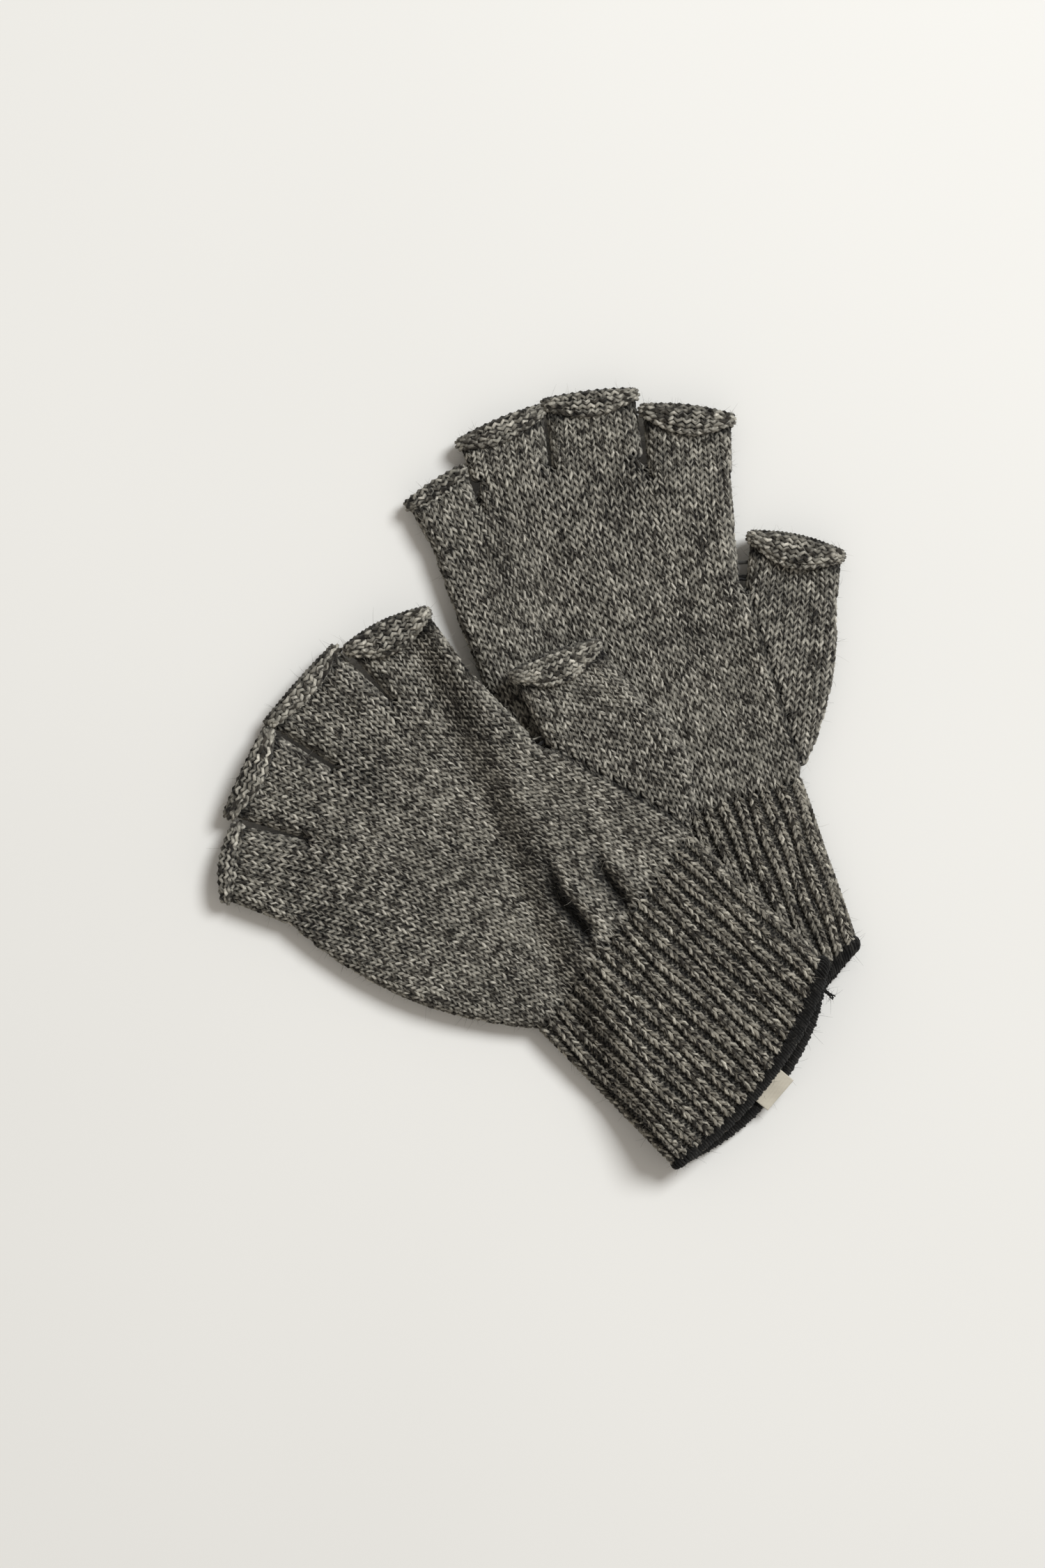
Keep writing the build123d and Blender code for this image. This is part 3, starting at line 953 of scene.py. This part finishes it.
def yarn_material(name, dark, light, twist, sheen, deepest_shade_level):
    """Two plies twisted together, patchy along the yarn, with painted shade between the stitches.
    """
    n = Nodes(name)
    along, around = n.uv_parts("Yarn")
    place = n.node("ShaderNodeTexCoord").outputs["Object"]

    def along_noise(length, offset, detail):
        far, round_it = n.math("DIVIDE", along, length), n.math("MULTIPLY", around, ROUND_YARN)
        return n.noise(n.spot(X=far, Y=offset, Z=round_it), 1.0, detail)

    slack = n.math("MULTIPLY", along_noise(*SLACK_NOISE), SLACK_TURNS)
    turns = n.math("ADD", n.math("ADD", n.math("DIVIDE", along, twist), around), slack)
    wave = n.math("SINE", n.math("MULTIPLY", turns, 2 * math.pi))
    mottle = n.centred(along_noise(*MOTTLE_NOISE), MOTTLE_WEIGHT)
    patches = n.math("ADD", n.centred(along_noise(*PATCH_NOISE), PATCH_WEIGHT), mottle)
    ply = n.math("ADD", n.math("ADD", n.math("MULTIPLY", wave, PLY_WEIGHT), patches), 0.5)
    ply.node.use_clamp = True
    first = n.ramp(along_noise(*DARK_NOISE), zip((0.35, 0.65), dark))
    second = n.ramp(along_noise(*LIGHT_NOISE), zip((0.35, 0.5, 0.65), light))
    colour = n.mix(ply, first, second)

    run, turn = FIBRE_RUN
    fibre_spot = n.spot(X=n.math("MULTIPLY", along, run), Y=n.math("MULTIPLY", turns, turn))
    fibres = n.noise(fibre_spot, *FIBRE_NOISE)
    fleck = n.math("MULTIPLY_ADD", n.math("SUBTRACT", fibres, 0.5), FLECK, 1.0)
    # Painted shade: the lower the Open share, the darker the yarn is coloured, between the
    # stitches, under a roll and in pressed folds.
    open_share = n.node("ShaderNodeAttribute", attribute_name="Open").outputs["Fac"]
    opened = n.math("POWER", open_share, CREVICE_POWER)
    crevice_shade = n.math("MULTIPLY_ADD", opened, 1.0 - deepest_shade_level, deepest_shade_level)
    patch = n.math("ADD", n.centred(n.noise(place, *CLOTH_NOISE), CLOTH_WEIGHT), 1.0)
    level = n.math("MULTIPLY", n.math("MULTIPLY", fleck, crevice_shade), patch)
    shaded = n.node("ShaderNodeVectorMath", operation="SCALE")
    n.link(colour, shaded.inputs[0])
    n.link(level, shaded.inputs["Scale"])
    n.shader.inputs["Specular IOR Level"].default_value = WOOL_SPECULAR
    n.shader.inputs["Sheen Weight"].default_value = sheen
    n.shader.inputs["Sheen Roughness"].default_value = WOOL_SHEEN_ROUGHNESS
    plies = n.math("ADD", n.math("MULTIPLY", n.math("ABSOLUTE", wave), PLY_RELIEF), fibres)
    return n.finish(shaded.outputs[0], WOOL_ROUGHNESS, plies, *WOOL_BUMP)


def label_material():
    """Plain woven tape: fine warp and weft with a slight sheen."""
    n = Nodes("woven_label")
    along, across = n.uv_parts("Tape")
    warp = n.math("SINE", n.math("MULTIPLY", along, 2 * math.pi / WARP_PITCH))
    weft = n.math("SINE", n.math("MULTIPLY", across, 2 * math.pi / WEFT_PITCH))
    weave = n.math("MULTIPLY", warp, weft)
    share = n.math("MULTIPLY_ADD", weave, 0.5, 0.5)
    colour = n.ramp(share, [(0.0, linear(196, 188, 170)), (1.0, linear(222, 216, 200))])
    n.shader.inputs["Sheen Weight"].default_value = LABEL_SHEEN
    return n.finish(colour, LABEL_ROUGHNESS, weave, *LABEL_BUMP)


def floor_material():
    n = Nodes("floor_paint")
    cloudy = n.noise(n.node("ShaderNodeTexCoord").outputs["Object"], FLOOR_NOISE)
    colour = n.ramp(cloudy, [(0.3, linear(236, 235, 231)), (0.7, linear(240, 239, 235))])
    return n.finish(colour, FLOOR_ROUGHNESS)


DARK_PLY = [linear(27, 24, 21), linear(74, 70, 63)]
LIGHT_PLY = [linear(134, 130, 120), linear(176, 172, 160), linear(212, 207, 194)]
WOOL = yarn_material("ragg_wool", DARK_PLY, LIGHT_PLY, 6.3, 0.1, 0.03)
# The ribbing's plies are the hand's made about 0.85 as bright, with darker crevices: painted shade
# for the ribbing's deeper hollows.
RIB_SHADED_DARK_PLY = [linear(22, 19, 16), linear(60, 56, 50)]
RIB_SHADED_LIGHT_PLY = [linear(108, 104, 94), linear(154, 149, 137), linear(198, 193, 179)]
RIB_WOOL = yarn_material("ribbed_wool", RIB_SHADED_DARK_PLY, RIB_SHADED_LIGHT_PLY, 6.3, 0.1, 0.02)
THREAD_DARK = [linear(10, 10, 9), linear(24, 23, 22)]
THREAD_LIGHT = [linear(22, 21, 20), linear(38, 37, 35), linear(74, 72, 68)]
BINDING = yarn_material("binding_yarn", THREAD_DARK, THREAD_LIGHT, 2.2, 0.08, 0.12)
LABEL = label_material()


# Pieces


def wander(count):
    """Changes in thickness along a yarn."""
    steps = np.arange(count)
    shifts = RANDOM.uniform(0, 2 * math.pi, len(SWELL_PERIODS))
    waves = sum(np.sin(steps / period + shift) for period, shift in zip(SWELL_PERIODS, shifts))
    return 1 + STRAND_SWELL * waves / 2


def add_rings(mesh, tube, first, count):
    for position, normal, height, facing in zip(*tube.courses_of_yarn(first, count)):
        thicker = 1 + ROLL_THICKENING * (1 - facing) / 2
        radius = YARN_RADIUS * thicker * wander(len(position))
        mesh.add(position, normal, radius, True, height, facing)


def digit_tube(glove, digit):
    outward = turned_left(unit(digit.tip[1] - digit.tip[0]))
    ends = [corner - outward * ROLL_CORNER for corner in digit.tip]
    bow = digit.bow - (digit.roll_radius - ROLL_CORNER)
    return Tube(glove, digit.side_points(0), ends, digit.wales + SIDE_WALES,
                (HALF_HEIGHT, ROLL_HALF_HEIGHT), (bow, bow), skin=DIGIT_SKIN,
                base_wales=digit.wales, roll_radius=digit.roll_radius)


def knit_digit(glove, digit):
    tube = digit_tube(glove, digit)
    mesh = YarnMesh()
    add_rings(mesh, tube, 0, tube.courses + tube.roll_courses)
    mesh.add_fuzz(FUZZ)
    piece = mesh.build(f"{glove.name}_{digit.name}_knit", WOOL)
    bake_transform(piece)
    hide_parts(digit.body)


def knit_hand(glove):
    hand = Hand(glove)
    third = hand.courses // 3
    sections = [("palm_wrist", hand.palm_course, 0, third),
                ("palm_middle", hand.palm_course, third, 2 * third),
                ("palm_knuckles", hand.palm_course, 2 * third, hand.courses),
                ("thumb_gusset", hand.gusset_course, 0, GUSSET_COURSES[glove.name])]
    for name, course, first, last in sections:
        mesh = YarnMesh()
        for row in range(first, last):
            for path, normal, height, closed in course(row + 0.5):
                mesh.add(path, normal, YARN_RADIUS * wander(len(path)), closed, height)
        mesh.add_fuzz(FUZZ)
        piece = mesh.build(f"{glove.name}_{name}", WOOL)
        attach(piece, f"{glove.name}_glove")
        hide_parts(f"{glove.name}_hand")


def cuff_tube(glove):
    lips = (glove.plan["upper_lip"], glove.plan["lower_lip"])
    half_heights = (CUFF_HALF_HEIGHT, CUFF_HALF_HEIGHT)
    return Tube(glove, glove.waist, glove.mouth, RIB_WALES, half_heights, lips, rib=True)


def knit_cuff(glove):
    tube = cuff_tube(glove)
    half = tube.courses // 2
    # the last course is hidden under the overlock
    last = tube.courses - math.floor(BINDING_WIDTH / COURSE) + 1
    for name, first, count in (("rib_upper", 0, half), ("rib_lower", half, last - half)):
        mesh = YarnMesh()
        add_rings(mesh, tube, first, count)
        mesh.add_fuzz(FUZZ)
        piece = mesh.build(f"{glove.name}_{name}", RIB_WOOL)
        hold_cuff_piece(piece, glove)
        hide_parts(f"{glove.name}_cuff")


def hold_cuff_piece(piece, glove):
    """The lower glove's cuff stays with its hand; the upper one's folds at the wrist."""
    if glove.name == "under":
        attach(piece, "under_glove")
        return
    if piece.name.endswith("rib_upper"):
        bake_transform(piece)
        return
    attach(piece, "over_cuff")


def overlock(glove):
    """A thread wound closely round the raw edge of the cuff's mouth."""
    tube = cuff_tube(glove)
    ring = np.linspace(0, 2 * tube.wales, MOUTH_POINTS + 1)[:-1]
    back = BINDING_WIDTH / 2 / tube.length * tube.courses
    centre, normal = tube.surface(ring, np.full(len(ring), tube.courses - back))
    ahead, _ = tube.surface(ring, np.full(len(ring), float(tube.courses)))
    forward = unit(ahead - centre)
    reach = np.linalg.norm(np.roll(centre, -1, axis=0) - centre, axis=1)
    travelled = np.concatenate([[0], np.cumsum(reach)])
    turns = round(travelled[-1] / WRAP_PITCH)
    steps = np.arange(turns * WRAP_POINTS)
    place = steps / (turns * WRAP_POINTS) * travelled[-1]

    def along_ring(values):
        looped = np.concatenate([values, values[:1]])
        return np.stack([np.interp(place, travelled, looped[:, k]) for k in range(3)], axis=-1)

    angle = steps / WRAP_POINTS * 2 * math.pi
    core, out, fore = along_ring(centre), along_ring(normal), along_ring(forward)
    uneven = 1 + sum(size * np.sin(steps / WRAP_POINTS * pace) for size, pace in WRAP_UNEVENNESS)
    half_width = (BINDING_WIDTH / 2 - THREAD_RADIUS) * uneven
    path = (core + fore * (half_width * np.cos(angle))[:, None]
            + out * (BINDING_THICKNESS * np.sin(angle))[:, None])
    spoke = unit(path - core)
    mesh = YarnMesh()
    mesh.add(path, spoke, THREAD_RADIUS * wander(len(path)), True)
    mesh.add_fuzz(BINDING_FUZZ)
    piece = mesh.build(f"{glove.name}_overlock", BINDING)
    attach(piece, "under_glove" if glove.name == "under" else "over_cuff")
    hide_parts(f"{glove.name}_binding")


def build_label(glove):
    """A blank woven tab lying on the inner face of the lower lip."""
    low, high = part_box("over_label")
    outward = turned_right(unit(glove.mouth[1] - glove.mouth[0]))
    centre = np.array([(low.x + high.x) / 2, (low.y + high.y) / 2]) / MM + outward * LABEL_RUN_OUT
    length, width, thickness = LABEL_SIZE
    way = heading(LABEL_HEADING)
    side = turned_left(way)
    s, t = np.meshgrid(*(np.linspace(-0.5, 0.5, count) for count in LABEL_GRID), indexing="ij")
    plan = centre + way * (s * length)[..., None] + side * (t * width)[..., None]
    base = SHEET_MIDDLE - CUFF_HALF_HEIGHT + BINDING_THICKNESS + THREAD_RADIUS + lift(glove, plan)
    ripple, pace = LABEL_RIPPLE
    under_face = base + LABEL_CURL * (0.5 - t) ** 2 + ripple * np.sin(s * pace)
    faces = [with_height(plan, under_face + rise) for rise in (thickness, 0.0)]
    points = np.stack(faces).reshape(-1, 3)
    index = np.arange(s.size).reshape(LABEL_GRID)
    corners = [index[:-1, :-1], index[1:, :-1], index[1:, 1:], index[:-1, 1:]]
    upper = np.stack(corners, axis=-1).reshape(-1, 4)
    rim = np.concatenate([index[:, 0], index[-1, 1:], index[-2::-1, -1], index[0, -2:0:-1]])
    after = np.roll(rim, -1)
    edge = np.stack([rim, rim + s.size, after + s.size, after], axis=-1)
    quads = np.concatenate([upper, upper[:, ::-1] + s.size, edge])
    tape = np.stack([s * length, t * width], axis=-1).reshape(-1, 2)
    layers = {"Tape": np.concatenate([tape, tape])[quads]}
    piece = mesh_object("over_label_tape", points * MM, quads, layers, LABEL)
    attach(piece, "over_cuff")
    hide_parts("over_label")


def build_thread_end(glove):
    """The cut end of the overlock thread, frayed into its plies."""
    low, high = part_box("over_thread_end")
    start = np.array([low.x, high.y, (low.z + high.z) / 2]) / MM
    reach = np.array([high.x, low.y, (low.z + high.z) / 2]) / MM - start
    way = unit(reach)
    side = np.append(turned_left(way[:2]), 0.0)
    up = np.array([0.0, 0.0, 1.0])
    run = TAIL_SHARE * reach + way * TAIL_ROOT
    t = np.linspace(0, 1, TAIL_POINTS)
    root, fray = TAIL_SPREAD
    spread = root + fray * smoothstep((t - TAIL_FRAY) / (1 - TAIL_FRAY))
    mesh = YarnMesh()
    for k in range(TAIL_PLIES):
        turn = TAIL_TWIST * t + 2 * math.pi * k / TAIL_PLIES
        path = (start - way * TAIL_ROOT + run * t[:, None]
                + side * (spread * np.cos(turn))[:, None] + up * (spread * np.sin(turn))[:, None])
        mesh.add(path, np.broadcast_to(up, path.shape), np.linspace(*TAIL_RADII, len(t)), False)
    mesh.add_fuzz(TAIL_FUZZ)
    piece = mesh.build("over_thread_tail", BINDING)
    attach(piece, "over_cuff")
    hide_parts("over_thread_end")


# Stage


FLOOR_SIZE = 3.0  # metres either way from the middle
WORLD_COLOUR = (1.0, 0.94, 0.87, 1.0)
WORLD_STRENGTH = 0.4
KEY_PLACE = (1.36, 1.36, 2.3)  # metres
KEY_SIZE = 1.2
KEY_POWER = 74.0
KEY_COLOUR = (0.96, 0.982, 1.0)
VIEW_HEIGHT = 489.0  # of floor in the picture
VIEW_CENTRE = (-4.1, -2.2)
CAMERA_HEIGHT = 1.5  # metres over the gloves
SENSOR = 24.0


def build_floor():
    size = FLOOR_SIZE
    mesh = bpy.data.meshes.new("floor")
    corners = [(-size, -size, 0), (size, -size, 0), (size, size, 0), (-size, size, 0)]
    mesh.from_pydata(corners, [], [(0, 1, 2, 3)])
    mesh.materials.append(floor_material())
    linked("floor", mesh)


def light_scene():
    """One large soft lamp at the upper right, and a warm even fill."""
    world = bpy.data.worlds.new("studio")
    world.use_nodes = True
    background = world.node_tree.nodes["Background"].inputs
    background["Color"].default_value = WORLD_COLOUR
    background["Strength"].default_value = WORLD_STRENGTH
    bpy.context.scene.world = world
    bpy.context.scene.view_settings.view_transform = "Standard"
    light = bpy.data.lights.new("key", "AREA")
    light.shape = "DISK"
    light.size = KEY_SIZE
    light.energy = KEY_POWER
    light.color = KEY_COLOUR
    lamp = linked("key", light)
    lamp.location = KEY_PLACE
    lamp.rotation_euler = (-Vector(KEY_PLACE)).to_track_quat("-Z", "Y").to_euler()


def add_camera():
    """Straight overhead through a long lens."""
    camera = bpy.data.cameras.new("camera")
    camera.sensor_fit = "VERTICAL"
    camera.sensor_height = SENSOR
    camera.lens = SENSOR * CAMERA_HEIGHT / (VIEW_HEIGHT * MM)
    holder = linked("camera", camera)
    x, y = VIEW_CENTRE
    holder.location = (x * MM, y * MM, CAMERA_HEIGHT + SHEET_MIDDLE * 2 * MM)
    bpy.context.scene.camera = holder


GLOVES = {name: Glove(name) for name in HANDS}
for one in GLOVES.values():
    knit_hand(one)
    for finger in one.digits:
        knit_digit(one, finger)
    knit_cuff(one)
    overlock(one)
build_label(GLOVES["over"])
build_thread_end(GLOVES["over"])
build_floor()
light_scene()
add_camera()
